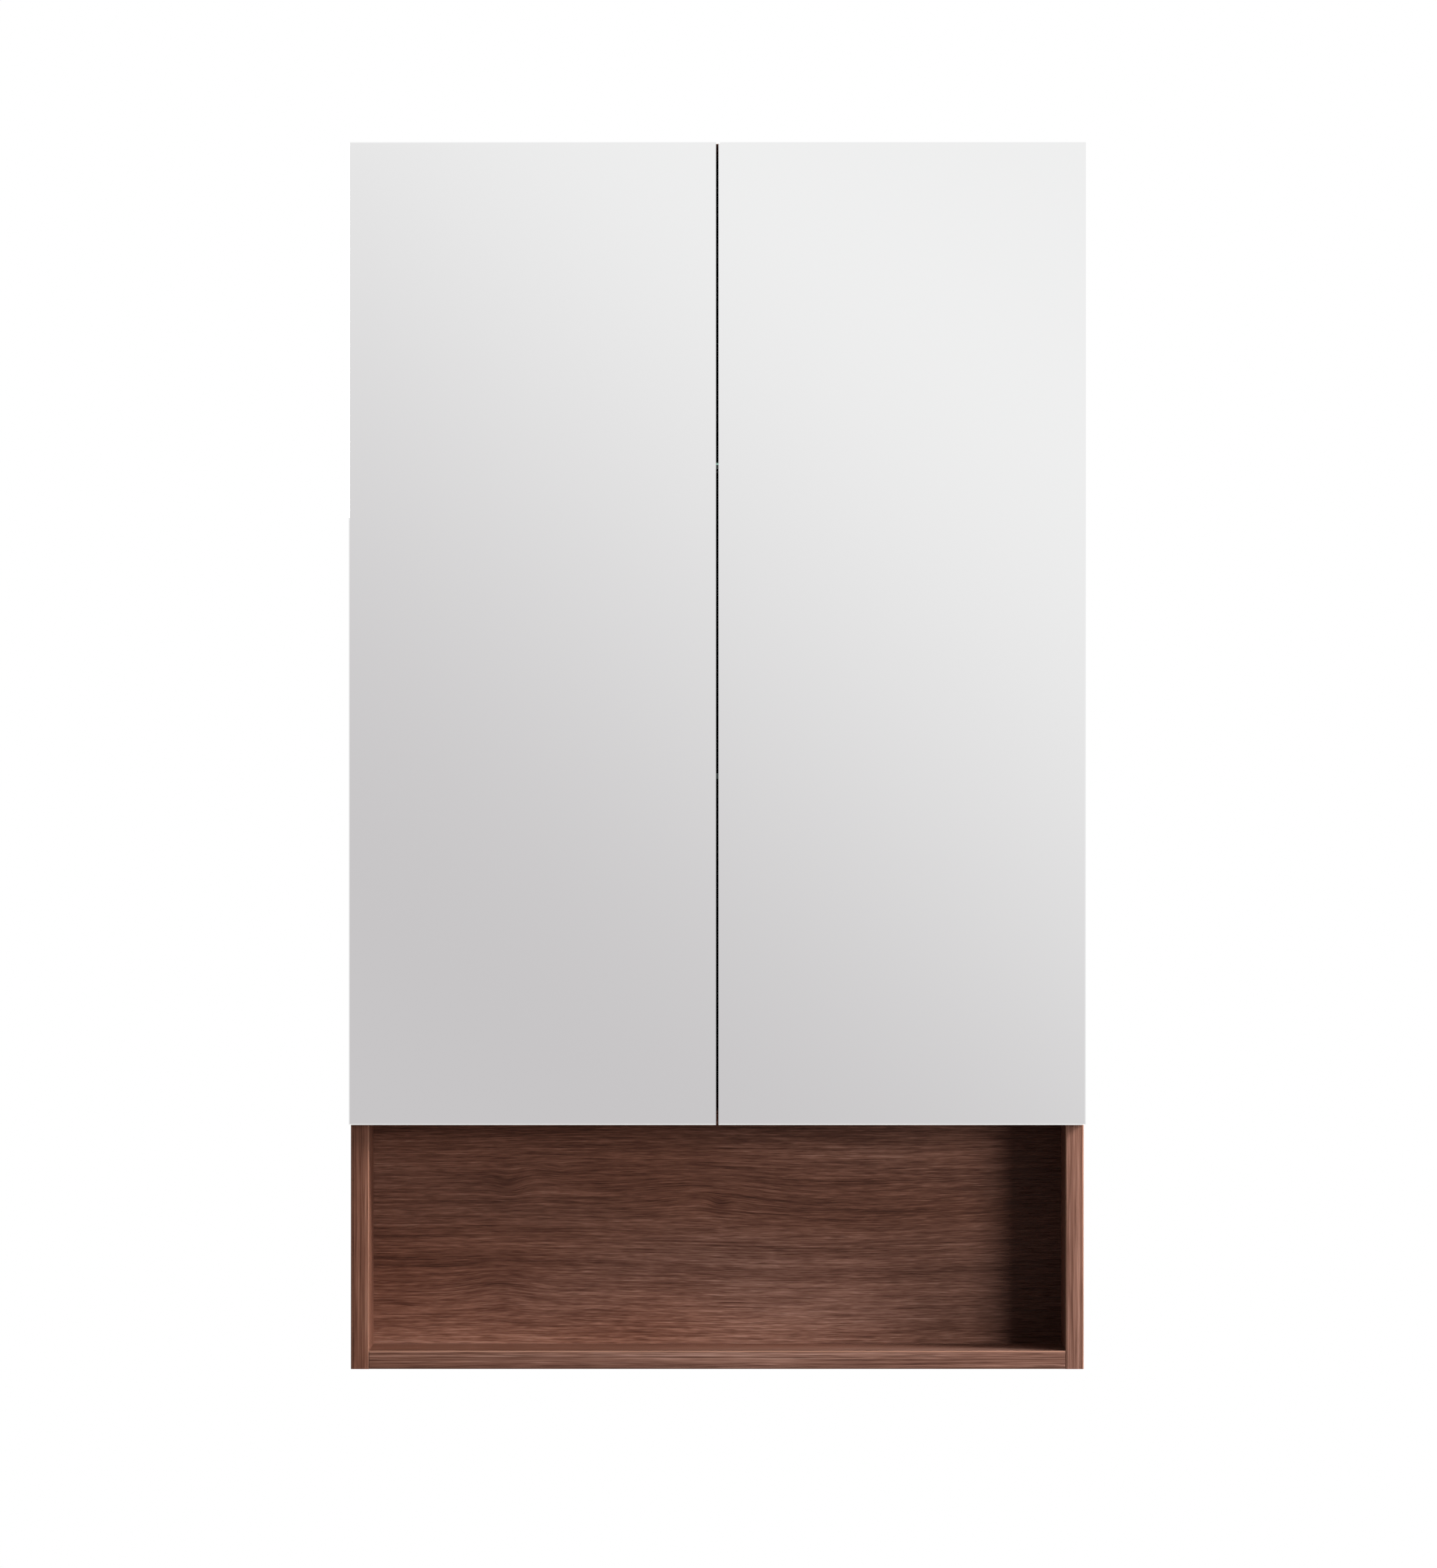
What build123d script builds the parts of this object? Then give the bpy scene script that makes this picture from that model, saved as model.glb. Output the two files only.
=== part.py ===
from build123d import *
import os
from math import atan2, degrees

# A wall-hung mirror cabinet: a walnut carcass, two mirror doors on concealed
# hinges, and an open niche below the doors. Sizes are in millimetres.
# The origin is under the middle of the cabinet, at the height of its bottom
# face. X runs to the right, Y to the wall and Z up.

# Overall size
overall_width = 600
overall_height = 1000
overall_depth = 150

# Carcass boards
board = 15
back_board = 9
edging = 2
edging_round = 1.5
rail_thickness = 15
rail_height = 80
groove_depth = 6
groove_play = 0.1
tongue_end_play = 0.5

# Doors
door_height = 800
door_gap = 2
door_overhang = 1
door_board = 15
mirror_glass = 4
mirror_arris = 0.8
door_reveal = 2
finger_grip = 10

# Glass shelves and their pins
shelf_glass = 6
shelf_depth = 88
shelf_side_play = 1.5
shelf_rear_play = 3
glass_arris = 0.6
shelf_spacing = 254
hole_pitch = 32
pin_row_setback = 37
pin_rear_row_setback = 28
pin_hole_radius = 2.5
pin_hole_depth = 10
pin_peg_play = 0.05
pin_peg_length = 9
pin_collar_radius = 4.5
pin_collar = 1
pin_seat_reach = 8
pin_seat_width = 8
pin_seat_thickness = 1.8
pin_seat_rise = 2
pin_rib_drop = 4.2
pin_rib_thickness = 2.5

# Dowels, cams and cam bolts that join the cross boards to the sides
dowel_radius = 4
dowel_length = 30
dowel_in_side = 11
dowel_rows = (-36, 32)
cam_rows = (-2,)
cam_radius = 7.5
cam_depth = 12.5
cam_setback = 24
cam_slot_width = 1.6
cam_slot_depth = 1.5
cam_slot_length = 8
cam_mouth = 7.8
cam_bolt_radius = 3
cam_bolt_thread_radius = 2.5
cam_bolt_thread = 11
cam_bolt_tip = 2
wood_fit = 0.05
blind_end = 1

# Screws through the back panel, and the holes for the wall screws
rail_screw_spacing = 400
rail_screw_radius = 1.9
rail_screw_head_radius = 3.8
rail_screw_head = 2.4
rail_screw_length = 21
wall_hole_radius = 2.75
wall_hole_spacing = 480

# Soft bumpers on the front edge of the carcass
bumper_radius = 4
bumper_play = 0.3
bumper_chamfer = 0.7
bumper_from_middle = 30

# Concealed hinges. Each pivot is placed by its distance from the inner face
# of the side panel and from the back face of the closed door.
hinge_from_door_end = 100
door_pivot = (-5.5, -3.0)
door_pivot_inner = (-0.1, -3.8)
arm_pivot = (14.2, 7.2)
arm_pivot_nose = (19.9, -6.0)
gooseneck = (0.1, -7.5)
hinge_pin_radius = 1.1
hinge_pin_play = 0.05
open_pivot_play = 1.9
cup_offset = 6.5
cup_radius = 17.5
cup_depth = 11.5
cup_wall = 0.85
cup_floor = 1
cup_fit = 0.05
flange = 0.9
flange_rim = 1.4
cup_screw_offset = 9.5
cup_screw_spacing = 45
cup_screw_radius = 1.7
cup_screw_head_radius = 3.4
cup_screw_head = 1.2
cup_screw_length = 11
cup_screw_margin = 2.1
layer_play = 0.3
inner_link_width = 7
cheek = 1.5
ear = 1.6
link_bar = 3.6
link_boss_radius = 2.4
inner_link_bar = 3.4
inner_boss_radius = 2.1
open_hub_wall = 0.9
nose_boss_radius = 2.0
arm_boss_radius = 2.6
arm_rise = 6
arm_height = 11.3
arm_tail = 60
arm_web_start = 12
link_web = 1.2
link_web_start = 9
link_web_length = 6
plate_setback = 37
plate_length = 36
plate_block_width = 13
plate_wing_span = 44
plate_wing_width = 14
plate_base = 2.5
plate_screw_spacing = 32
plate_screw_radius = 2.5
plate_screw_head_radius = 3.6
plate_screw_head = 1.6
plate_screw_length = 12
arm_screw_setbacks = (32, 48)
arm_screw_radius = 1.9
arm_screw_head_radius = 3.4
arm_screw_head = 2
arm_screw_bite = 3
arm_screw_hole = 5

# Planes that the pieces share
outer_x = overall_width / 2 - door_overhang
inner_x = outer_x - board
rear_y = overall_depth / 2
mirror_front_y = -overall_depth / 2
door_front_y = mirror_front_y + mirror_glass
door_back_y = door_front_y + door_board
carcass_front_y = door_back_y + door_reveal
board_front_y = carcass_front_y + edging
back_rear_y = rear_y - rail_thickness
back_front_y = back_rear_y - back_board
back_middle_y = (back_front_y + back_rear_y) / 2
door_low_z = overall_height - door_height
niche_top_z = door_low_z + finger_grip
cupboard_low_z = niche_top_z + board
cupboard_high_z = overall_height - board
board_low_z = {"bottom": 0, "niche": niche_top_z, "top": cupboard_high_z}
rail_low_z = {"upper": cupboard_high_z - rail_height, "lower": cupboard_low_z}
hinge_z = (door_low_z + hinge_from_door_end, overall_height - hinge_from_door_end)
shelf_pin_z = (cupboard_low_z + shelf_spacing, cupboard_low_z + 2 * shelf_spacing)
pin_rows = (carcass_front_y + pin_row_setback, back_front_y - pin_rear_row_setback)

os.makedirs("parts", exist_ok=True)


def save(builder, name):
    """Label one finished piece and write it to its own file."""
    builder.part.label = name
    export_step(builder.part, f"parts/{name}.step")


def save_pair(left, name):
    """Write a piece of the left side and its mirror image on the right."""
    with BuildPart() as right:
        mirror(left.part, about=Plane.YZ)
    save(left, f"left_{name}")
    save(right, f"right_{name}")


def side_plane(side, face_x):
    """A plane on an upright face, with Y and Z as its own axes."""
    return Plane(origin=(face_x, 0, 0), x_dir=(0, side, 0), z_dir=(side, 0, 0))


def row_points(rows, heights):
    """Each row's Y paired with each height."""
    return [(y, z) for y in rows for z in heights]


# Side panels, grooved for the back panel and drilled on the inner face
def side_panel():
    middle_zs = [low + board / 2 for low in board_low_z.values()]
    pin_zs = [z + step * hole_pitch for z in shelf_pin_z for step in (-1, 0, 1)]
    plate_zs = [z + end * plate_screw_spacing / 2 for z in hinge_z for end in (-1, 1)]
    with BuildPart() as panel:
        with BuildSketch():
            with Locations((-(outer_x + inner_x) / 2, (board_front_y + rear_y) / 2)):
                Rectangle(board, rear_y - board_front_y)
            with Locations((-inner_x, back_middle_y)):
                Rectangle(2 * groove_depth, back_board + 2 * groove_play, mode=Mode.SUBTRACT)
        extrude(amount=overall_height)
        with Locations(side_plane(1, -inner_x)):
            with Locations(*row_points(pin_rows, pin_zs)):
                Hole(pin_hole_radius, depth=pin_hole_depth)
            with Locations(*row_points(dowel_rows, middle_zs)):
                Hole(dowel_radius + wood_fit, depth=dowel_in_side)
            with Locations(*row_points(cam_rows, middle_zs)):
                Hole(cam_bolt_thread_radius + wood_fit, depth=cam_bolt_thread)
            with Locations(*row_points([carcass_front_y + plate_setback], plate_zs)):
                Hole(plate_screw_radius + wood_fit, depth=plate_screw_length)
    return panel


save_pair(side_panel(), "side_panel")


# Cross boards: bottom, niche shelf and top, held by dowels and cams
def cross_board(low_z, board_rear_y, cam_face, groove_low_z=None):
    middle_z = low_z + board / 2
    cam_face_z = middle_z + cam_face * board / 2
    cam_xs = (cam_setback - inner_x, inner_x - cam_setback)
    with BuildPart() as panel:
        with BuildSketch(Plane.XY.offset(low_z)):
            with Locations((0, (board_front_y + board_rear_y) / 2)):
                Rectangle(2 * inner_x, board_rear_y - board_front_y)
        extrude(amount=board)
        if groove_low_z is not None:
            with BuildSketch(Plane.XY.offset(groove_low_z)):
                with Locations((0, back_middle_y)):
                    Rectangle(2 * inner_x, back_board + 2 * groove_play)
            extrude(amount=groove_depth, mode=Mode.SUBTRACT)
        for side in (-1, 1):
            with Locations(side_plane(side, side * inner_x)):
                with Locations(*[(side * y, middle_z) for y in dowel_rows]):
                    Hole(dowel_radius + wood_fit, depth=dowel_length - dowel_in_side)
                with Locations(*[(side * y, middle_z) for y in cam_rows]):
                    Hole(cam_bolt_radius + wood_fit, depth=cam_setback)
        cam_plane = Plane(origin=(0, 0, cam_face_z), x_dir=(1, 0, 0), z_dir=(0, 0, cam_face))
        with Locations(cam_plane):
            with Locations(*[(x, cam_face * y) for x in cam_xs for y in cam_rows]):
                Hole(cam_radius, depth=cam_depth)
    return panel


save(cross_board(0, rear_y, -1, board - groove_depth), "bottom_panel")
save(cross_board(niche_top_z, back_front_y, 1), "niche_shelf")
save(cross_board(cupboard_high_z, rear_y, 1, cupboard_high_z), "top_panel")


# Edge bands along the front of the boards, with rounded arrises
def edge_band(middle_x, low_z, width, height):
    with BuildPart() as band:
        with BuildSketch(Plane.XY.offset(low_z)):
            with Locations((middle_x, (carcass_front_y + board_front_y) / 2)):
                Rectangle(width, edging)
        extrude(amount=height)
        front = band.faces().sort_by(Axis.Y)[0]
        fillet(front.edges().sort_by(SortBy.LENGTH)[-2:], edging_round)
    return band


save_pair(edge_band(-(outer_x + inner_x) / 2, 0, board, overall_height), "edging")
for place, low_z in board_low_z.items():
    save(edge_band(0, low_z, 2 * inner_x, board), f"{place}_edging")

# Back panel, one sheet behind the cupboard and the niche. Its screws sink flush.
wall_hole_xs = (-wall_hole_spacing / 2, wall_hole_spacing / 2)
rail_screw_xs = (-rail_screw_spacing / 2, rail_screw_spacing / 2)
rail_middle_zs = [low_z + rail_height / 2 for low_z in rail_low_z.values()]
back_low_z = board - groove_depth + tongue_end_play
back_high_z = cupboard_high_z + groove_depth - tongue_end_play
back_face = Plane(origin=(0, back_front_y, 0), x_dir=(1, 0, 0), z_dir=(0, -1, 0))
sink_angle = 2 * degrees(atan2(rail_screw_head_radius - rail_screw_radius, rail_screw_head))

with BuildPart() as back_panel:
    with BuildSketch(back_face):
        with Locations((0, (back_low_z + back_high_z) / 2)):
            Rectangle(2 * (inner_x + groove_depth - tongue_end_play), back_high_z - back_low_z)
    extrude(amount=-back_board)
    with Locations(back_face):
        with Locations(*[(x, z) for x in wall_hole_xs for z in rail_middle_zs]):
            Hole(wall_hole_radius, depth=back_board)
        with Locations(*[(x, z) for x in rail_screw_xs for z in rail_middle_zs]):
            CounterSinkHole(
                rail_screw_radius + wood_fit,
                rail_screw_head_radius + wood_fit,
                depth=back_board,
                counter_sink_angle=sink_angle,
            )
save(back_panel, "back_panel")

# Hanging rails behind the back panel, which the wall screws pass through
for place, low_z in rail_low_z.items():
    rail_middle_z = low_z + rail_height / 2
    rail_face = Plane(origin=(0, back_rear_y, rail_middle_z), x_dir=(1, 0, 0), z_dir=(0, -1, 0))
    with BuildPart() as rail:
        with BuildSketch(Plane.XY.offset(low_z)):
            with Locations((0, (back_rear_y + rear_y) / 2)):
                Rectangle(2 * inner_x, rail_thickness)
        extrude(amount=rail_height)
        with Locations(rail_face):
            with Locations(*[(x, 0) for x in wall_hole_xs]):
                Hole(wall_hole_radius, depth=rail_thickness)
            with Locations(*[(x, 0) for x in rail_screw_xs]):
                Hole(rail_screw_radius + wood_fit, depth=rail_screw_length - back_board + blind_end)
    save(rail, f"{place}_hanging_rail")

with BuildPart() as rail_screws:
    with BuildPart(mode=Mode.PRIVATE) as screw:
        with BuildSketch(Plane.XY):
            with BuildLine():
                Polyline(
                    (0, 0),
                    (rail_screw_head_radius, 0),
                    (rail_screw_radius, -rail_screw_head),
                    (rail_screw_radius, -rail_screw_length),
                    (0, -rail_screw_length),
                    close=True,
                )
            make_face()
        revolve(axis=Axis.Y)
    with Locations(Plane(origin=(0, back_front_y, 0), x_dir=(1, 0, 0), z_dir=(0, 0, 1))):
        with Locations(*[Location((x, 0, z), (180, 0, 0)) for x in rail_screw_xs for z in rail_middle_zs]):
            add(screw.part)
save(rail_screws, "rail_screws")

# Dowels, cam bolts and cams at both ends of the three cross boards
board_middle_zs = [low_z + board / 2 for low_z in board_low_z.values()]

with BuildPart() as dowels:
    for side in (-1, 1):
        with Locations(*[(side * (inner_x + dowel_in_side - dowel_length / 2), y, z)
                         for y, z in row_points(dowel_rows, board_middle_zs)]):
            Cylinder(dowel_radius, dowel_length - blind_end, rotation=(0, 90, 0))
save(dowels, "dowels")

with BuildPart() as cam_bolts:
    for side in (-1, 1):
        with Locations(side_plane(side, side * inner_x)):
            with Locations(*[(side * y, z) for y, z in row_points(cam_rows, board_middle_zs)]):
                Cylinder(cam_bolt_radius, cam_setback + cam_bolt_tip,
                         align=(Align.CENTER, Align.CENTER, Align.MAX))
                Cylinder(cam_bolt_thread_radius, cam_bolt_thread - blind_end,
                         align=(Align.CENTER, Align.CENTER, Align.MIN))
save(cam_bolts, "cam_bolts")


def cam_places(low_z, cam_face):
    """Where the cams of one cross board sit, flush with the face they are let into."""
    cam_face_z = low_z + board / 2 + cam_face * board / 2
    return [
        Location((side * (inner_x - cam_setback), y, cam_face_z), (0, 90 - 90 * cam_face, 0))
        for side in (-1, 1) for y in cam_rows
    ]


with BuildPart() as cam:
    Cylinder(cam_radius - wood_fit, cam_depth - blind_end, align=(Align.CENTER, Align.CENTER, Align.MAX))
    with Locations((0, 0, (cam_mouth - board) / 2)):
        Box(2 * cam_radius, cam_mouth, cam_depth,
            align=(Align.CENTER, Align.CENTER, Align.MAX), mode=Mode.SUBTRACT)
    with Locations((0, 0, -cam_slot_depth / 2)):
        Box(cam_slot_length, cam_slot_width, cam_slot_depth, mode=Mode.SUBTRACT)
        Box(cam_slot_width, cam_slot_length, cam_slot_depth, mode=Mode.SUBTRACT)

with BuildPart() as cam_locks:
    with Locations(*cam_places(0, -1), *cam_places(niche_top_z, 1), *cam_places(cupboard_high_z, 1)):
        add(cam.part)
save(cam_locks, "cam_locks")

# Glass shelves on spade pins
pin_face_x = inner_x - pin_collar
shelf_rear_y = back_front_y - shelf_rear_play

for place, pin_z in zip(("lower", "upper"), shelf_pin_z):
    with BuildPart() as glass_shelf:
        with BuildSketch(Plane.XY.offset(pin_z + pin_seat_rise)):
            with Locations((0, shelf_rear_y - shelf_depth / 2)):
                Rectangle(2 * (inner_x - shelf_side_play), shelf_depth)
        extrude(amount=shelf_glass)
        chamfer(glass_shelf.edges().filter_by(Axis.X), glass_arris)
    save(glass_shelf, f"{place}_glass_shelf")

with BuildPart() as shelf_pin:
    with BuildSketch(Plane.YZ):
        Circle(pin_collar_radius)
        with Locations((0, pin_seat_rise + pin_collar_radius / 2)):
            Rectangle(2 * pin_collar_radius, pin_collar_radius, mode=Mode.SUBTRACT)
    extrude(amount=pin_collar)
    with BuildSketch(Plane.YZ):
        Circle(pin_hole_radius - pin_peg_play)
    extrude(amount=-pin_peg_length)
    with BuildSketch(Plane.XY.offset(pin_seat_rise)):
        with Locations((pin_seat_reach / 2, 0)):
            Rectangle(pin_seat_reach, pin_seat_width)
    extrude(amount=-pin_seat_thickness)
    with BuildSketch(Plane.XZ):
        with BuildLine():
            Polyline(
                (0, pin_seat_rise - pin_seat_thickness),
                (pin_seat_reach - pin_collar, pin_seat_rise - pin_seat_thickness),
                (pin_collar, -pin_rib_drop),
                (0, -pin_rib_drop),
                close=True,
            )
        make_face()
    extrude(amount=pin_rib_thickness / 2, both=True)

with BuildPart() as left_pins:
    with Locations(*[(-inner_x, y, z) for y, z in row_points(pin_rows, shelf_pin_z)]):
        add(shelf_pin.part)
with BuildPart() as shelf_pins:
    add(left_pins.part)
    mirror(left_pins.part, about=Plane.YZ)
save(shelf_pins, "shelf_pins")

# Bumpers that the closed doors meet
bumper_zs = (niche_top_z + board / 2, overall_height - board / 2)
bumper_xs = (-bumper_from_middle, bumper_from_middle)

carcass_face = Plane(origin=(0, carcass_front_y, 0), x_dir=(1, 0, 0), z_dir=(0, -1, 0))

with BuildPart() as door_bumpers:
    with Locations(carcass_face):
        with Locations(*[(x, z) for x in bumper_xs for z in bumper_zs]):
            Cylinder(bumper_radius, door_reveal - bumper_play,
                     align=(Align.CENTER, Align.CENTER, Align.MIN))
    chamfer(door_bumpers.edges().group_by(Axis.Y)[0], bumper_chamfer)
save(door_bumpers, "door_bumpers")

# Door boards and mirrors
door_width = (overall_width - door_gap) / 2
door_middle_x = -(overall_width + door_gap) / 4
cup_x = cup_offset - inner_x
cup_face = Plane(origin=(cup_x, door_back_y, 0), x_dir=(1, 0, 0), z_dir=(0, 1, 0))
cup_screw_points = [(cup_screw_offset, end * cup_screw_spacing / 2) for end in (-1, 1)]


def door_sheet(front_y, thickness):
    """A sheet as wide and high as the left door."""
    with BuildPart() as sheet:
        with BuildSketch(Plane.XY.offset(door_low_z)):
            with Locations((door_middle_x, front_y + thickness / 2)):
                Rectangle(door_width, thickness)
        extrude(amount=door_height)
    return sheet


with BuildPart() as left_door_board:
    add(door_sheet(door_front_y, door_board).part)
    for z in hinge_z:
        with Locations(cup_face):
            with Locations((0, -z)):
                Hole(cup_radius, depth=cup_depth)
                with Locations(*cup_screw_points):
                    Hole(cup_screw_radius + wood_fit, depth=cup_screw_length)
save_pair(left_door_board, "door_board")

with BuildPart() as left_mirror:
    add(door_sheet(mirror_front_y, mirror_glass).part)
    chamfer(left_mirror.faces().sort_by(Axis.Y)[0].edges(), mirror_arris)
save_pair(left_mirror, "mirror")


# Concealed hinges, modelled for the left door with the hinge's middle at z = 0
def hinge_point(offsets):
    """A place in plan, from the side panel's inner face and the door's back face."""
    return (offsets[0] - inner_x, offsets[1] + door_back_y)


def both_hinges(piece):
    """The same piece at the lower and the upper hinge of the left door."""
    with BuildPart() as pair:
        with Locations(*[(0, 0, z) for z in hinge_z]):
            add(piece.part)
    return pair


inner_half = inner_link_width / 2
cheek_low = inner_half + layer_play
cheek_high = cheek_low + cheek
ear_low = cheek_high + layer_play
ear_high = ear_low + ear
door_pin = hinge_point(door_pivot)
inner_door_pin = hinge_point(door_pivot_inner)
arm_pin = hinge_point(arm_pivot)
nose_pin = hinge_point(arm_pivot_nose)
knee = hinge_point(gooseneck)
pin_bore = hinge_pin_radius + hinge_pin_play
cup_inner_radius = cup_radius - cup_fit - cup_wall
door_pin_reach = ear_high + layer_play
cup_floor_y = door_back_y - cup_depth + cup_fit + cup_floor

with BuildPart() as hinge_cup:
    with BuildSketch(cup_face):
        Circle(cup_radius - cup_fit)
    extrude(amount=cup_fit - cup_depth)
    with BuildSketch(cup_face):
        Circle(cup_radius + flange_rim)
        with BuildSketch(mode=Mode.PRIVATE) as wings:
            with Locations(*cup_screw_points):
                Circle(cup_screw_head_radius + cup_screw_margin)
            make_hull()
        add(wings.sketch)
    extrude(amount=flange)
    with BuildSketch(cup_face.offset(flange)):
        Circle(cup_inner_radius)
    extrude(amount=cup_fit + cup_floor - cup_depth - flange, mode=Mode.SUBTRACT)
    with BuildSketch(cup_face.offset(flange)):
        with Locations(*cup_screw_points):
            Circle(cup_screw_radius + wood_fit)
    extrude(amount=-2 * flange, mode=Mode.SUBTRACT)
    with BuildSketch(Plane.XY.offset(cheek_low)):
        with Locations(door_pin, inner_door_pin):
            Circle(link_boss_radius)
        with Locations(((door_pin[0] + inner_door_pin[0]) / 2, cup_floor_y)):
            Rectangle(inner_door_pin[0] - door_pin[0] + 2 * link_boss_radius, cup_floor)
        make_hull()
    cheeks = extrude(amount=cheek)
    mirror(cheeks, about=Plane.XY)
    with Locations(door_pin):
        Cylinder(pin_bore, 2 * door_pin_reach, mode=Mode.SUBTRACT)
    with Locations(inner_door_pin):
        Cylinder(pin_bore, 2 * ear_low, mode=Mode.SUBTRACT)
save_pair(both_hinges(hinge_cup), "hinge_cups")

with BuildPart() as cup_pins:
    for side in (-1, 1):
        with BuildSketch(Plane.XY.offset(side * cheek_low)):
            with Locations(door_pin):
                Circle(hinge_pin_radius)
        extrude(amount=side * (door_pin_reach - cheek_low))
    with Locations(inner_door_pin):
        Cylinder(hinge_pin_radius, 2 * cheek_high)
save_pair(both_hinges(cup_pins), "cup_pins")

with BuildPart() as cup_screws:
    with Locations(cup_face.offset(flange)):
        with Locations(*cup_screw_points):
            Cylinder(cup_screw_head_radius, cup_screw_head, align=(Align.CENTER, Align.CENTER, Align.MIN))
            Cylinder(cup_screw_radius, cup_screw_length, align=(Align.CENTER, Align.CENTER, Align.MAX))
save_pair(both_hinges(cup_screws), "cup_screws")

# The outer link: two bent ears joined by a web behind the knee
with BuildPart() as outer_link:
    with BuildSketch(Plane.XY.offset(ear_low)):
        with BuildLine():
            neck = FilletPolyline(door_pin, knee, arm_pin, radius=link_bar)
        trace(neck, link_bar)
        with Locations(door_pin, arm_pin):
            Circle(link_boss_radius)
        with Locations(door_pin, arm_pin):
            Circle(pin_bore, mode=Mode.SUBTRACT)
    ears = extrude(amount=ear)
    mirror(ears, about=Plane.XY)
    to_arm = (Vector(*arm_pin) - Vector(*knee)).normalized()
    web_middle = Vector(*knee) + to_arm * (link_web_start + link_web_length / 2)
    web_middle += to_arm.rotate(Axis.Z, 90) * (link_bar - link_web) / 2
    with BuildSketch(Plane.XY.offset(-ear_low)):
        with Locations(Location(web_middle, (0, 0, Vector(1, 0, 0).get_signed_angle(to_arm)))):
            Rectangle(link_web_length, link_web)
    extrude(amount=2 * ear_low)
save_pair(both_hinges(outer_link), "outer_links")

# The inner link: one bar, with a wide eye around its pin in the cup
open_eye_radius = hinge_pin_radius + open_pivot_play
with BuildPart() as inner_link:
    with BuildSketch(Plane.XY.offset(-inner_half)):
        with BuildLine():
            bar = Line(inner_door_pin, nose_pin)
        trace(bar, inner_link_bar)
        with Locations(inner_door_pin):
            Circle(open_eye_radius + open_hub_wall)
        with Locations(nose_pin):
            Circle(inner_boss_radius)
            Circle(pin_bore, mode=Mode.SUBTRACT)
        with Locations(inner_door_pin):
            Circle(open_eye_radius, mode=Mode.SUBTRACT)
    extrude(amount=inner_link_width)
save_pair(both_hinges(inner_link), "inner_links")

# The arm: two cheeks from the mounting plate to the nose, joined by a web
arm_low_x = arm_rise - inner_x
arm_high_x = arm_low_x + arm_height
arm_front_y = carcass_front_y + plate_setback - plate_length / 2
arm_rear_y = carcass_front_y + arm_tail

with BuildPart() as hinge_arm:
    with BuildSketch(Plane.XY.offset(cheek_low)):
        with BuildSketch(mode=Mode.PRIVATE) as nose:
            with Locations(arm_pin):
                Circle(arm_boss_radius)
            with Locations(nose_pin):
                Circle(nose_boss_radius)
            make_hull()
        with BuildSketch(mode=Mode.PRIVATE) as beam:
            with Locations(arm_pin):
                Circle(arm_boss_radius)
            with Locations(((arm_low_x + arm_high_x) / 2, (arm_front_y + arm_rear_y) / 2)):
                Rectangle(arm_height, arm_rear_y - arm_front_y)
            make_hull()
        add(nose.sketch)
        add(beam.sketch)
        with Locations(arm_pin, nose_pin):
            Circle(pin_bore, mode=Mode.SUBTRACT)
    cheeks = extrude(amount=cheek)
    mirror(cheeks, about=Plane.XY)
    web_front_y = carcass_front_y + arm_web_start
    with BuildSketch(Plane.XY.offset(-cheek_low)):
        with Locations((arm_high_x - cheek / 2, (web_front_y + arm_rear_y) / 2)):
            Rectangle(cheek, arm_rear_y - web_front_y)
    extrude(amount=2 * cheek_low)
    with Locations(side_plane(1, arm_high_x)):
        with Locations(*[(carcass_front_y + y, 0) for y in arm_screw_setbacks]):
            Hole(arm_screw_radius + wood_fit, depth=cheek)
save_pair(both_hinges(hinge_arm), "hinge_arms")

with BuildPart() as arm_pins:
    with Locations(arm_pin):
        Cylinder(hinge_pin_radius, 2 * ear_high)
    with Locations(nose_pin):
        Cylinder(hinge_pin_radius, 2 * cheek_high)
save_pair(both_hinges(arm_pins), "arm_pins")

# The mounting plate: two screwed wings and the block that carries the arm
plate_y = carcass_front_y + plate_setback
plate_face = Plane(origin=(-inner_x, plate_y, 0), x_dir=(0, 1, 0), z_dir=(1, 0, 0))
plate_screw_points = [(0, end * plate_screw_spacing / 2) for end in (-1, 1)]

with BuildPart() as mounting_plate:
    with BuildSketch(plate_face):
        SlotOverall(plate_wing_span, plate_wing_width, rotation=90)
        Rectangle(plate_length, plate_block_width)
    extrude(amount=plate_base)
    with BuildSketch(plate_face.offset(plate_base)):
        Rectangle(plate_length, plate_block_width)
    extrude(amount=arm_rise - plate_base)
    with Locations(plate_face.offset(plate_base)):
        with Locations(*plate_screw_points):
            Hole(plate_screw_radius + wood_fit, depth=plate_base)
    with Locations(plate_face.offset(arm_rise)):
        with Locations(*[(y - plate_setback, 0) for y in arm_screw_setbacks]):
            Hole(arm_screw_radius + wood_fit, depth=arm_screw_hole)
save_pair(both_hinges(mounting_plate), "mounting_plates")

with BuildPart() as plate_screws:
    with Locations(plate_face.offset(plate_base)):
        with Locations(*plate_screw_points):
            Cylinder(plate_screw_head_radius, plate_screw_head,
                     align=(Align.CENTER, Align.CENTER, Align.MIN))
            Cylinder(plate_screw_radius, plate_base + plate_screw_length - blind_end,
                     align=(Align.CENTER, Align.CENTER, Align.MAX))
save_pair(both_hinges(plate_screws), "plate_screws")

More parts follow.
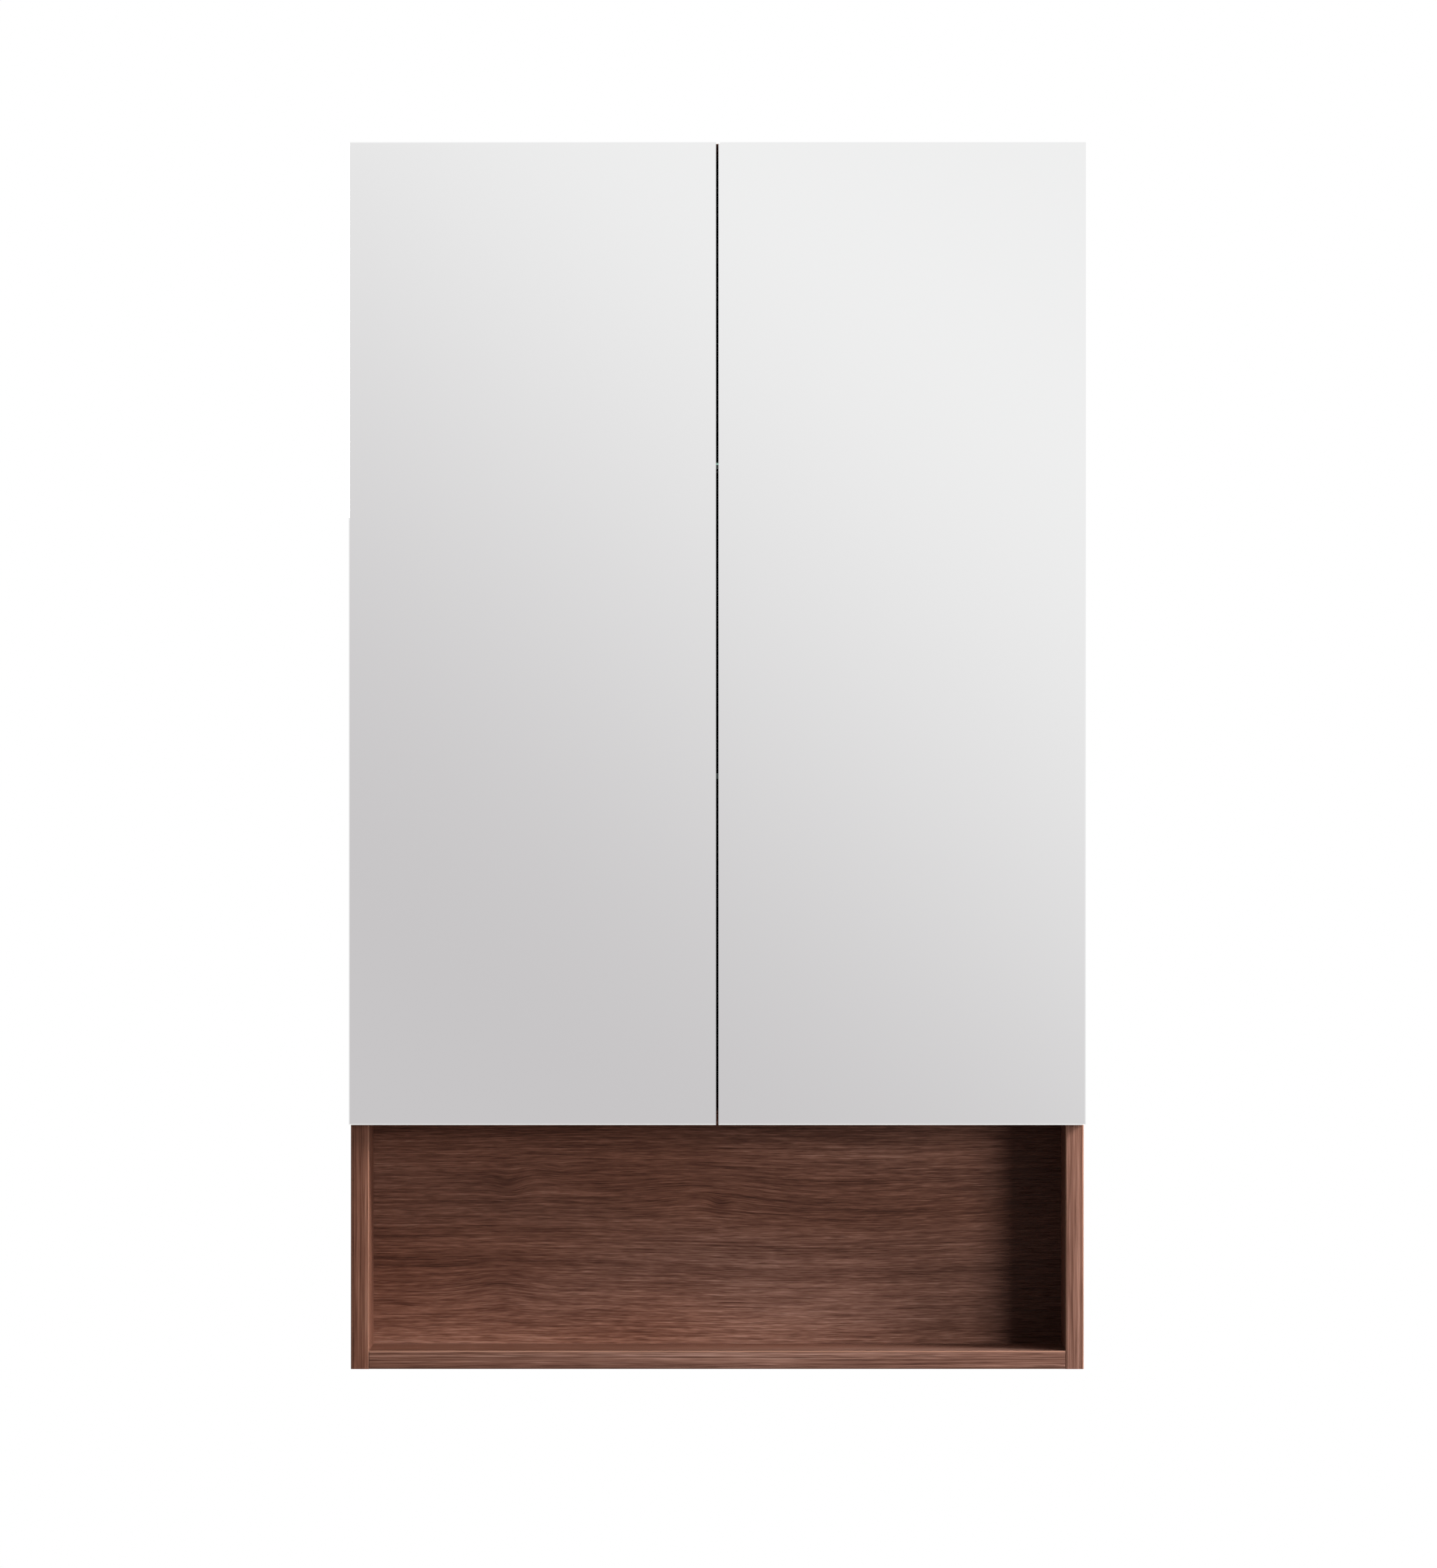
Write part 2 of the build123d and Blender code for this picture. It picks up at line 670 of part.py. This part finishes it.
with BuildPart() as arm_screws:
    with Locations(plate_face.offset(arm_rise + arm_height)):
        with Locations(*[(y - plate_setback, 0) for y in arm_screw_setbacks]):
            Cylinder(arm_screw_head_radius, arm_screw_head, align=(Align.CENTER, Align.CENTER, Align.MIN))
            Cylinder(arm_screw_radius, arm_height + arm_screw_bite,
                     align=(Align.CENTER, Align.CENTER, Align.MAX))
save_pair(both_hinges(arm_screws), "arm_screws")
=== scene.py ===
import math

import bpy
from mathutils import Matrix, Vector


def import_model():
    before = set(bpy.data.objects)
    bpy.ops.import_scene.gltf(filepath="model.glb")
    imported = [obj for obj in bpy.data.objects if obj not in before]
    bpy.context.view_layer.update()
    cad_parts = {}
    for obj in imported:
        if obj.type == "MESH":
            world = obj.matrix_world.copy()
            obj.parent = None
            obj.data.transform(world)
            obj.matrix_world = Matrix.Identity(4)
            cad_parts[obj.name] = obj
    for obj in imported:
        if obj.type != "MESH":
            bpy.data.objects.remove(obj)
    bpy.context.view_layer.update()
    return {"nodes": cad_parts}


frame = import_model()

# The looks of a wall-hung mirror cabinet. Everything is in metres, in the
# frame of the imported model: X to the right, Y to the wall and Z up.
nodes = frame["nodes"]
scene = bpy.context.scene
X, Y, Z = 0, 1, 2

# The photograph's frame: a long lens, level, a little over 8 m from the doors
camera_place = (0.001, -8.105, 0.4775)
camera_lens = 226.5
camera_sensor = 36
camera_reach = 200

# The sky that mirrors and metal show: bright all round, but for a screen in
# front of the doors that gets dimmer downwards and to the left. With x and z
# from a ray's direction, it starts and stops to dim at the two values of
# z + screen_tilt * x, and it ends between the two values of x * x + z * z.
sky_bright = (0.925, 0.925, 0.925)
sky_dim = (0.612, 0.596, 0.604)
screen_tilt = 0.8
screen_fade = (0.071937, -0.04664)
screen_edge = (0.012, 0.06)
# The sky's own light on the object, the same from all sides
sky_fill = (0.04, 0.04, 0.04)

# The floor is part white near the middle, and plain white past the further of
# the two distances. Its bounce is the colour that lights the object from below.
floor_z = -0.75
floor_radius = 12
floor_corners = 64
floor_fade = (0.9, 3.2)
floor_part_white = 0.45
floor_bounce = (0.14, 0.14, 0.14)

# Soft boxes: place, the point they face, width and height, watts, and whether
# they show in reflections
lamps = {
    "key_light": ((1.07, -1.49, 0.318), (0.10, -0.05, 0.20), (0.45, 0.445), 18.8, False),
    "high_light": ((1.64, -0.82, 1.12), (0.0, -0.05, 0.25), (0.75, 0.55), 57, False),
    "left_light": ((-2.0, 0.45, 1.3), (-0.1, 0.0, 0.45), (1.2, 1.2), 26, True),
    "right_light": ((2.0, 0.65, 1.0), (0.1, 0.0, 0.45), (1.2, 1.2), 22, True),
    "rear_light": ((-0.5, 2.3, 1.7), (0.0, 0.05, 0.5), (1.4, 1.4), 34, True),
}

# Walnut from its darkest to its lightest tone
walnut_tones = [
    (0.0, (0.046, 0.0160, 0.0100)), (0.30, (0.107, 0.0412, 0.0257)), (0.55, (0.184, 0.0757, 0.0487)),
    (0.80, (0.285, 0.1275, 0.0845)), (1.0, (0.392, 0.1960, 0.1370)),
]
# A greyer tint: at random in long streaks, and as a painted sheen that grows towards +X, the lamps' side
grey_streaks_and_sheen_tint = (0.90, 1.10, 1.27)
pore_colour = (0.026, 0.010, 0.007)
# The lighter colour of the rounded arrises: a painted highlight, where the lamps catch the round
arris_highlight_colour = (0.44, 0.235, 0.160)
walnut_gloss = 0.14
walnut_relief = 0.00022

# Knots, bends and lighter or darker patches of the niche's back, measured from
# its middle: place along and across the grain, reach along and across, how far
# the grain is pushed aside, and how much darker it gets
back_middle = (0.0, 0.0555, 0.108)
back_figure = (
    (-0.172, 0.040, 0.012, 0.014, 0.0110, 0.14), (-0.148, 0.040, 0.022, 0.010, -0.0070, -0.08),
    (-0.130, 0.050, 0.010, 0.006, 0.0060, 0.10), (0.002, 0.024, 0.008, 0.005, 0.0080, 0.30),
    (-0.010, 0.030, 0.050, 0.020, -0.0200, -0.02), (0.105, 0.020, 0.150, 0.045, 0.0200, 0.0),
    (-0.180, -0.045, 0.030, 0.018, -0.0150, 0.08), (-0.100, -0.050, 0.120, 0.030, -0.0100, 0.0),
    (-0.20, -0.105, 0.30, 0.040, 0.0, -0.16), (0.05, -0.075, 0.10, 0.016, 0.0, -0.10),
    (0.08, -0.020, 0.16, 0.008, 0.002, 0.10), (-0.06, 0.078, 0.20, 0.010, 0.0, 0.08),
)


class Shader:
    """One material's node tree, made from short calls."""

    def __init__(self, tree):
        self.tree = tree
        tree.nodes.clear()

    def node(self, kind, **settings):
        made = self.tree.nodes.new("ShaderNode" + kind)
        for name, value in settings.items():
            setattr(made, name, value)
        return made

    def put(self, value, socket):
        """Link an output to a socket, or set a plain value on it."""
        if isinstance(value, bpy.types.NodeSocket):
            self.tree.links.new(value, socket)
        elif value is not None:
            socket.default_value = value

    def math(self, operation, a, b=None, c=None, clamp=False):
        made = self.node("Math", operation=operation, use_clamp=clamp)
        for value, socket in zip((a, b, c), made.inputs):
            self.put(value, socket)
        return made.outputs[0]

    def weighted(self, *pairs, start=0.0):
        """start plus the sum of each value times its weight."""
        total = start
        for value, weight in pairs:
            total = self.math("MULTIPLY_ADD", value, weight, total)
        return total

    def squares(self, a, b):
        """a squared plus b squared."""
        return self.math("ADD", self.math("MULTIPLY", a, a), self.math("MULTIPLY", b, b))

    def vector(self, x, y, z):
        made = self.node("CombineXYZ")
        for value, socket in zip((x, y, z), made.inputs):
            self.put(value, socket)
        return made.outputs[0]

    def place(self):
        """The point's own X, Y and Z, which move with its piece."""
        made = self.node("SeparateXYZ")
        self.put(self.node("TexCoord").outputs["Object"], made.inputs[0])
        return list(made.outputs)

    def stretched(self, *factors):
        """The point's place with each axis times its factor, for noise that is drawn out."""
        drawn = [self.math("MULTIPLY", value, factor) for value, factor in zip(self.place(), factors)]
        return self.vector(*drawn)

    def normal(self):
        """How far the face looks along X, Y and Z, either way."""
        made = self.node("SeparateXYZ")
        self.put(self.node("TexCoord").outputs["Normal"], made.inputs[0])
        return [self.math("ABSOLUTE", side) for side in made.outputs]

    def noise(self, vector, scale=1.0, detail=2.0, roughness=0.5):
        made = self.node("TexNoise", noise_dimensions="3D")
        inputs = {"Vector": vector, "Scale": scale, "Detail": detail, "Roughness": roughness}
        for name, value in inputs.items():
            self.put(value, made.inputs[name])
        return made.outputs["Fac"]

    def speckle(self, scale):
        """Even noise through the whole piece."""
        return self.noise(self.vector(*self.place()), scale=scale, detail=3.0)

    def line_noise(self, w):
        made = self.node("TexNoise", noise_dimensions="1D")
        for name, value in {"W": w, "Scale": 1.0, "Detail": 2.0, "Roughness": 0.5}.items():
            self.put(value, made.inputs[name])
        return made.outputs["Fac"]

    def spread(self, value, low, high, to_low=0.0, to_high=1.0):
        """A smooth step from to_low to to_high as the value goes from low to high."""
        made = self.node("MapRange", interpolation_type="SMOOTHSTEP")
        for number, socket in zip((value, low, high, to_low, to_high), made.inputs):
            self.put(number, socket)
        return made.outputs[0]

    def ramp(self, factor, stops):
        made = self.node("ValToRGB")
        bar = made.color_ramp
        while len(bar.elements) < len(stops):
            bar.elements.new(0.5)
        for element, (position, colour) in zip(bar.elements, stops):
            element.position = position
            element.color = (*colour, 1)
        self.put(factor, made.inputs[0])
        return made.outputs[0]

    def mix(self, factor, a, b, blend="MIX"):
        made = self.node("Mix", data_type="RGBA", blend_type=blend)
        self.put(factor, made.inputs["Factor"])
        colour_a, colour_b = made.inputs[6], made.inputs[7]
        for value, socket in ((a, colour_a), (b, colour_b)):
            self.put((*value, 1) if isinstance(value, tuple) else value, socket)
        return made.outputs[2]

    def bump(self, height, distance, strength):
        made = self.node("Bump")
        self.put(strength, made.inputs["Strength"])
        self.put(distance, made.inputs["Distance"])
        self.put(height, made.inputs["Height"])
        return made.outputs[0]


def finish(name):
    """A new material, its shader helper, and a call that fills its main shader."""
    material = bpy.data.materials.new(name)
    material.use_nodes = True
    shader = Shader(material.node_tree)
    surface = shader.node("BsdfPrincipled")
    shader.put(surface.outputs[0], shader.node("OutputMaterial").inputs[0])

    def fill(**values):
        for key, value in values.items():
            shader.put(value, surface.inputs[key.replace("_", " ")])

    return material, shader, fill


# Walnut, cut from a solid pattern so that it runs on around the arrises
def walnut(name, along, across, middle, line=1.0, tone=0.0, stripe=1.0, length=1.0, figure=(), arris_highlight=0.0):
    """Grain runs on the axis `along`, and `across` is the other axis of the wide face.

    line makes the lines finer, tone lightens them, stripe strengthens them, a length under 1 draws
    them out, figure is as back_figure, and arris_highlight is how strongly a painted highlight lightens the
    rounded arrises.
    """
    material, s, fill = finish(name)
    through = X + Y + Z - along - across
    centred = [s.math("SUBTRACT", value, start) for value, start in zip(s.place(), middle)]
    x, y, z = centred[along], centred[across], centred[through]

    def streaks(on_x, on_y, detail=2.0, roughness=0.5, side=y):
        """Noise drawn out along the grain: on_x and on_y are its changes per metre."""
        return s.noise(s.vector(s.math("MULTIPLY", x, on_x * length), s.math("MULTIPLY", side, on_y),
                                s.math("MULTIPLY", z, on_y)), detail=detail, roughness=roughness)

    bend, dark_spots = 0.0, 0.0
    for at_x, at_y, reach_x, reach_y, push, dark in figure:
        off_x = s.math("DIVIDE", s.math("SUBTRACT", x, at_x), reach_x)
        off_y = s.math("DIVIDE", s.math("SUBTRACT", y, at_y), reach_y)
        near = s.math("EXPONENT", s.math("MULTIPLY", s.squares(off_x, off_y), -1.0))
        bend = s.math("MULTIPLY_ADD", near, push, bend)
        dark_spots = s.math("MULTIPLY_ADD", near, dark, dark_spots)
    # The fine lines follow the flow, and the broad bands the rings, which bend further
    flow = s.weighted((streaks(1.7, 4.0, 1.0), 0.012), (streaks(9.0, 22.0, 1.0), 0.0012), (z, 0.75),
                      (bend, 0.3), start=y)
    rings = s.weighted((streaks(2.2, 7.0), 0.034), (bend, 0.7), start=flow)

    bands = s.line_noise(s.math("MULTIPLY", rings, 50.0 * line))
    cloud = streaks(3.0, 12.0, 3.0)
    fibre = streaks(4.2, 400.0 * line, 2.0, 0.7, side=flow)
    short_fibre = streaks(24.0, 950.0 * line, 2.0, 0.6, side=flow)
    fine = streaks(95.0, 1900.0, 1.0, side=flow)
    dark_line = s.spread(streaks(7.5, 800.0 * line, 2.0, 0.55, side=flow), 0.53, 0.68)
    pore = s.spread(streaks(45.0, 1350.0 * line, 1.0, side=flow), 0.58, 0.70)

    # Each of these noises lies around one half, so half their weights come off the start
    noises = ((bands, 0.58), (cloud, 0.50), (fibre, 0.62 * stripe), (short_fibre, 1.00), (fine, 0.80))
    start = 0.54 + tone - 0.5 * sum(weight for _, weight in noises)
    shade = s.weighted(*noises, (dark_line, -0.23 * stripe), (dark_spots, -1.0), start=start)
    colour = s.ramp(shade, walnut_tones)
    # Greyer in random streaks, and more so towards +X: a painted sheen of the lamps at the right
    grey_streaks_and_sheen = s.weighted((streaks(2.3, 9.0), 1.0), (s.place()[X], 0.55))
    colour = s.mix(s.spread(grey_streaks_and_sheen, 0.25, 0.85, 0.0, 0.85), colour, grey_streaks_and_sheen_tint, blend="MULTIPLY")
    colour = s.mix(s.math("MULTIPLY", pore, 0.42), colour, pore_colour)
    # Lighter on the rounded arrises, where the normal leaves the axes: a painted highlight
    if arris_highlight:
        nx, ny, nz = s.normal()
        flat = s.math("MAXIMUM", s.math("MAXIMUM", nx, ny), nz)
        arris = s.spread(flat, 0.985, 0.80)
        colour = s.mix(s.math("MULTIPLY", arris, arris_highlight), colour, arris_highlight_colour)
    rough = s.weighted((short_fibre, 0.14), (pore, 0.20), (cloud, 0.10), start=0.36)
    height = s.weighted((short_fibre, 0.55), (fine, 0.25), (pore, -0.9))
    fill(Base_Color=colour, Roughness=rough, Specular_IOR_Level=walnut_gloss,
         Normal=s.bump(height, walnut_relief, 0.5))
    return material


# The raw board of the hanging rails
def chipboard():
    material, s, fill = finish("chipboard")
    chips = s.node("TexVoronoi", feature="F1")
    s.put(s.stretched(130.0, 330.0, 330.0), chips.inputs["Vector"])
    s.put(1.0, chips.inputs["Scale"])
    chip_tone = s.node("SeparateColor")
    s.put(chips.outputs["Color"], chip_tone.inputs[0])
    grain = s.speckle(900.0)
    shade = s.weighted((chip_tone.outputs[0], 0.6), (grain, 0.4))
    dark, middling, light = (0.20, 0.11, 0.055), (0.43, 0.275, 0.155), (0.64, 0.455, 0.285)
    fill(Base_Color=s.ramp(shade, [(0.0, dark), (0.5, middling), (1.0, light)]),
         Roughness=s.weighted((grain, 0.2), start=0.7), Normal=s.bump(shade, 0.0004, 0.6))
    return material


def beech():
    material, s, fill = finish("beech_wood")
    fleck = s.noise(s.stretched(60.0, 900.0, 900.0), detail=3.0)
    fill(Base_Color=s.ramp(fleck, [(0.3, (0.44, 0.27, 0.15)), (0.7, (0.68, 0.49, 0.32))]),
         Roughness=s.weighted((fleck, 0.2), start=0.5), Normal=s.bump(fleck, 0.0002, 0.5))
    return material


# Silvered glass: the faces that show the mirror, and the green cut edges
def mirror():
    material, s, fill = finish("mirror_silver")
    silvered = s.spread(s.normal()[Y], 0.30, 0.45)
    film = s.speckle(3.0)
    edge = s.ramp(film, [(0.3, (0.16, 0.27, 0.23)), (0.7, (0.30, 0.42, 0.37))])
    fill(Base_Color=s.mix(silvered, edge, (0.932, 0.934, 0.934)), Metallic=silvered,
         Roughness=s.spread(film, 0.2, 0.8, 0.004, 0.012))
    return material


# Clear shelves, greener where their cut edges show
def shelf_glass():
    material, s, fill = finish("clear_glass")
    film = s.speckle(5.0)
    face = s.spread(s.normal()[Z], 0.55, 0.85)
    fill(Base_Color=s.mix(face, (0.40, 0.68, 0.56), (0.955, 0.985, 0.972)),
         Roughness=s.spread(film, 0.3, 0.8, 0.0, 0.02), Transmission_Weight=1.0, IOR=1.5)
    return material


# Plated or cast metal: brushing at `grain` changes per metre, and light and dark stains
def metal(name, light, dark, rough, grain, stretch=(1.0, 1.0, 1.0), relief=0.00004):
    material, s, fill = finish(name)
    brush = s.noise(s.stretched(*(grain * factor for factor in stretch)), detail=3.0, roughness=0.6)
    stain = s.speckle(90.0)
    colour = s.mix(s.spread(stain, 0.35, 0.7), light, dark)
    roughness = s.weighted((brush, 0.16), (stain, 0.10), start=rough - 0.13)
    fill(Base_Color=colour, Metallic=1.0, Roughness=roughness, Normal=s.bump(brush, relief, 0.6))
    return material


def silicone():
    material, s, fill = finish("soft_silicone")
    dust = s.speckle(700.0)
    fill(Base_Color=s.ramp(dust, [(0.3, (0.70, 0.70, 0.67)), (0.7, (0.84, 0.84, 0.82))]),
         Roughness=s.weighted((dust, 0.25), start=0.3), Transmission_Weight=0.35, IOR=1.41,
         Normal=s.bump(dust, 0.0001, 0.4))
    return material


nickel = metal("nickel_plate", (0.58, 0.565, 0.535), (0.46, 0.45, 0.425), 0.29, 900.0, (1.0, 1.0, 0.12))
screw_zinc = metal("zinc_plated_screw", (0.50, 0.50, 0.49), (0.38, 0.38, 0.37), 0.35, 1500.0)
cast_zinc = metal("cast_zinc", (0.40, 0.40, 0.39), (0.29, 0.29, 0.285), 0.5, 1300.0, relief=0.00012)
# The boards across are lighter by tone=0.12: painted light on their faces, such as the top face of the
# niche's floor
cross_walnut_painted_light = walnut("walnut_cross_painted_light", X, Y, (0.11, 0.0, 0.0), tone=0.12)
edge_side = walnut("walnut_edge_side", Z, X, (0.0, 0.0, 0.3), line=1.4, tone=0.07, stripe=2.2, length=0.3,
                   arris_highlight=0.6)
edge_cross = walnut("walnut_edge_cross", X, Z, (0.2, 0.0, 0.0), line=1.2, tone=0.07, stripe=2.0, length=0.45,
                    arris_highlight=0.65)

# Every node's finish, by the end of its name: the first row that fits counts
finishes = (
    (("back_panel",), walnut("walnut_back", X, Z, back_middle, figure=back_figure)),
    (("side_panel",), walnut("walnut_side", Z, Y, (0.0, 0.0, 0.4))),
    (("door_board",), walnut("walnut_door", Z, X, (0.13, 0.0, 0.2))),
    (("bottom_panel", "top_panel", "niche_shelf"), cross_walnut_painted_light),
    (("left_edging", "right_edging"), edge_side),
    (("edging",), edge_cross),
    (("hanging_rail",), chipboard()),
    (("dowels",), beech()),
    (("mirror",), mirror()),
    (("glass_shelf",), shelf_glass()),
    (("door_bumpers",), silicone()),
    (("cam_locks",), cast_zinc),
    (("shelf_pins", "cups", "links", "arms", "plates"), nickel),
    (("screws", "pins", "bolts"), screw_zinc),
)
for name, node in nodes.items():
    node.data.materials.clear()
    node.data.materials.append(next(made for ends, made in finishes if name.endswith(ends)))


# Camera
camera_data = bpy.data.cameras.new("camera")
camera_data.lens = camera_lens
camera_data.sensor_width = camera_sensor
camera_data.clip_end = camera_reach
camera = bpy.data.objects.new("camera", camera_data)
camera.location = camera_place
camera.rotation_euler = (math.pi / 2, 0, 0)
scene.collection.objects.link(camera)
scene.camera = camera
scene.view_settings.view_transform = "Standard"


# Studio
def shown_rays(s):
    """Two factors: 1 for camera rays, and 1 for all rays that show the stage.

    Both are 0 for the rays by which the stage lights the object.
    """
    path = s.node("LightPath").outputs
    seen = s.math("ADD", path["Is Camera Ray"], path["Is Glossy Ray"], clamp=True)
    return path["Is Camera Ray"], s.math("ADD", seen, path["Is Transmission Ray"], clamp=True)


def world():
    made = bpy.data.worlds.new("studio")
    made.use_nodes = True
    scene.world = made
    s = Shader(made.node_tree)
    direction = s.node("SeparateXYZ")
    s.put(s.node("TexCoord").outputs["Generated"], direction.inputs[0])
    x, _, z = direction.outputs
    dimming = s.spread(s.math("MULTIPLY_ADD", x, screen_tilt, z), *screen_fade)
    on_screen = s.spread(s.squares(x, z), *screen_edge, 1.0, 0.0)
    sky = s.mix(s.math("MULTIPLY", dimming, on_screen), sky_bright, sky_dim)
    camera_ray, shown = shown_rays(s)
    colour = s.mix(camera_ray, s.mix(shown, sky_fill, sky), (1.0, 1.0, 1.0))
    background, output = s.node("Background"), s.node("OutputWorld")
    s.put(colour, background.inputs[0])
    s.put(background.outputs[0], output.inputs[0])


def soft_light(name, place, aim, size, watts, mirrored):
    data = bpy.data.lights.new(name, "AREA")
    data.shape = "RECTANGLE"
    data.size, data.size_y = size
    data.energy = watts
    lamp = bpy.data.objects.new(name, data)
    lamp.location = place
    lamp.rotation_euler = (Vector(aim) - Vector(place)).to_track_quat("-Z", "Y").to_euler()
    lamp.visible_camera = False
    lamp.visible_glossy = mirrored
    scene.collection.objects.link(lamp)


def floor():
    """A pale disc that fades into the white around it, and is clear from below."""
    mesh = bpy.data.meshes.new("floor")
    turns = [2 * math.pi * i / floor_corners for i in range(floor_corners)]
    rim = [(floor_radius * math.cos(turn), floor_radius * math.sin(turn), 0) for turn in turns]
    mesh.from_pydata(rim, [], [list(range(floor_corners))])
    made = bpy.data.objects.new("floor", mesh)
    made.location = (0, 0, floor_z)
    scene.collection.objects.link(made)
    material = bpy.data.materials.new("pale_floor")
    material.use_nodes = True
    s = Shader(material.node_tree)
    x, y, _ = s.place()
    white = s.spread(s.math("SQRT", s.squares(x, y)), *floor_fade, floor_part_white, 1.0)
    _, shown = shown_rays(s)
    paint, glow, clear = s.node("BsdfDiffuse"), s.node("Emission"), s.node("BsdfTransparent")
    pale = s.ramp(s.speckle(160.0), [(0.3, (0.66, 0.66, 0.65)), (0.7, (0.72, 0.72, 0.71))])
    s.put(s.mix(shown, floor_bounce, pale), paint.inputs[0])
    s.put(1.0, glow.inputs["Strength"])
    top, both = s.node("MixShader"), s.node("MixShader")
    for shader, factor, first, second in (
        (top, s.math("MULTIPLY", white, shown), paint, glow),
        (both, s.node("NewGeometry").outputs["Backfacing"], top, clear),
    ):
        s.put(factor, shader.inputs[0])
        s.put(first.outputs[0], shader.inputs[1])
        s.put(second.outputs[0], shader.inputs[2])
    s.put(both.outputs[0], s.node("OutputMaterial").inputs[0])
    mesh.materials.append(material)


world()
floor()
for name, settings in lamps.items():
    soft_light(name, *settings)
